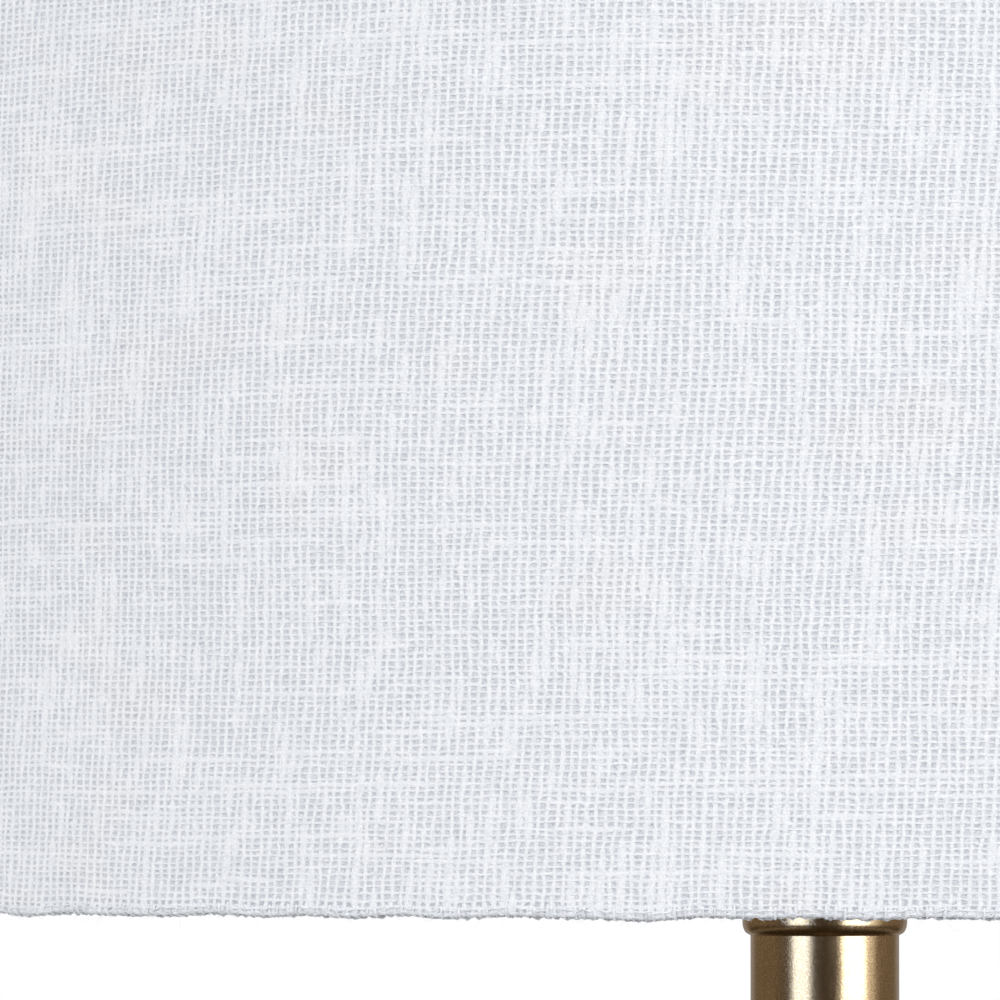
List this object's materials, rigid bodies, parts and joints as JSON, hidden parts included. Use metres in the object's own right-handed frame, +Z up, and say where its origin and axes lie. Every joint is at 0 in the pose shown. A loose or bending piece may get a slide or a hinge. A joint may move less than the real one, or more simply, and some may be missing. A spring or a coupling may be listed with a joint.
{
  "type": "arc floor lamp",
  "caption": "Arc floor lamp: weighted round base, brass pole with a sliding mast, a swivelling curved arm, and a linen drum shade hung from a tilting joint.",
  "frame": {"origin": "centre of the base's flat underside, on the pole's axis, at floor level", "axes": "+Z up along the pole, +X along the arc's reach towards the shade, +Y to the left of someone who looks along +X"},
  "size_m": [1.044, 0.32, 1.8487],
  "materials": {
    "satin_brass": "satin antique, lacquered",
    "cast_iron": "black primed",
    "zinc_steel": "zinc plated",
    "felt_pad": "pressed felt",
    "black_plastic": "fine texture",
    "white_nylon": "matt",
    "porcelain": "glazed",
    "contact_brass": "bright",
    "white_wire": "powder coated",
    "shade_liner": "satin laminate",
    "linen": "open plain weave",
    "frosted_glass": "frosted",
    "white_flex": "round sheath"
  },
  "bodies": {
    "stand": {"base_pad": "felt_pad", "base_cover": "satin_brass", "base_weight": "cast_iron", "terminal_block": "white_nylon", "base_stud": "zinc_steel", "base_washer": "zinc_steel", "base_nut": "zinc_steel", "cable_gland": "black_plastic", "switch_body": "black_plastic", "switch_spring": "zinc_steel", "switch_bezel": "satin_brass", "pole_foot": "satin_brass", "pole_plug": "zinc_steel", "pole_lower": "satin_brass", "pole_joint_lower": "satin_brass", "pole_middle": "satin_brass", "pole_joint_middle": "satin_brass", "pole_upper": "satin_brass", "flex_pole": "white_flex", "clamp_collar": "satin_brass", "collar_bush": "black_plastic"},
    "button": {"switch_button": "black_plastic"},
    "lock": {"lock_screw": "zinc_steel", "lock_knob": "satin_brass"},
    "mast": {"mast_tube": "satin_brass", "mast_spigot": "satin_brass", "mast_guide": "white_nylon"},
    "arc": {"arc_ferrule": "satin_brass", "arc_rear": "satin_brass", "arc_joint": "satin_brass", "arc_front": "satin_brass", "flex_arc": "white_flex", "arc_end_cap": "satin_brass"},
    "head": {"head_clevis": "satin_brass", "tilt_washer_front": "white_nylon", "tilt_washer_rear": "white_nylon", "tilt_pin": "zinc_steel", "head_stem": "zinc_steel", "stem_nut": "satin_brass", "holder_cap": "satin_brass", "holder_body": "black_plastic", "holder_insert": "porcelain", "contact_centre": "contact_brass", "shade_nut": "black_plastic", "bulb_eyelet": "contact_brass", "bulb_cap": "zinc_steel", "bulb_glass": "frosted_glass", "shade_spider": "white_wire", "shade_ring_bottom": "white_wire", "shade_liner": "shade_liner", "shade_cover": "linen"},
    "tilt_knob": {"tilt_knob": "satin_brass"}
  },
  "joints": [
    {"name": "button_press", "type": "slide", "parent": "stand", "child": "button", "axis": [0, 0, -1], "range_m": [0, 0.003], "stiffness_N_per_m": 800, "springref_m": -0.002, "deforming": ["switch_spring"]},
    {"name": "lock_turn", "type": "hinge", "parent": "stand", "child": "lock", "pos_m": [0, 0, 1.3144], "axis": [-1, 0, 0], "range_deg": [0, 360]},
    {"name": "mast_slide", "type": "slide", "parent": "stand", "child": "mast", "axis": [0, 0, 1], "range_m": [-0.05, 0.15]},
    {"name": "arc_swivel", "type": "hinge", "parent": "mast", "child": "arc", "pos_m": [0, 0, 1.4], "axis": [0, 0, 1], "range_deg": [-170, 170]},
    {"name": "head_tilt", "type": "hinge", "parent": "arc", "child": "head", "pos_m": [0.73, 0, 1.577], "axis": [0, 1, 0], "range_deg": [-25, 25]},
    {"name": "tilt_knob_turn", "type": "hinge", "parent": "head", "child": "tilt_knob", "pos_m": [0.73, 0, 1.577], "axis": [0, -1, 0], "range_deg": [0, 360]}
  ]
}
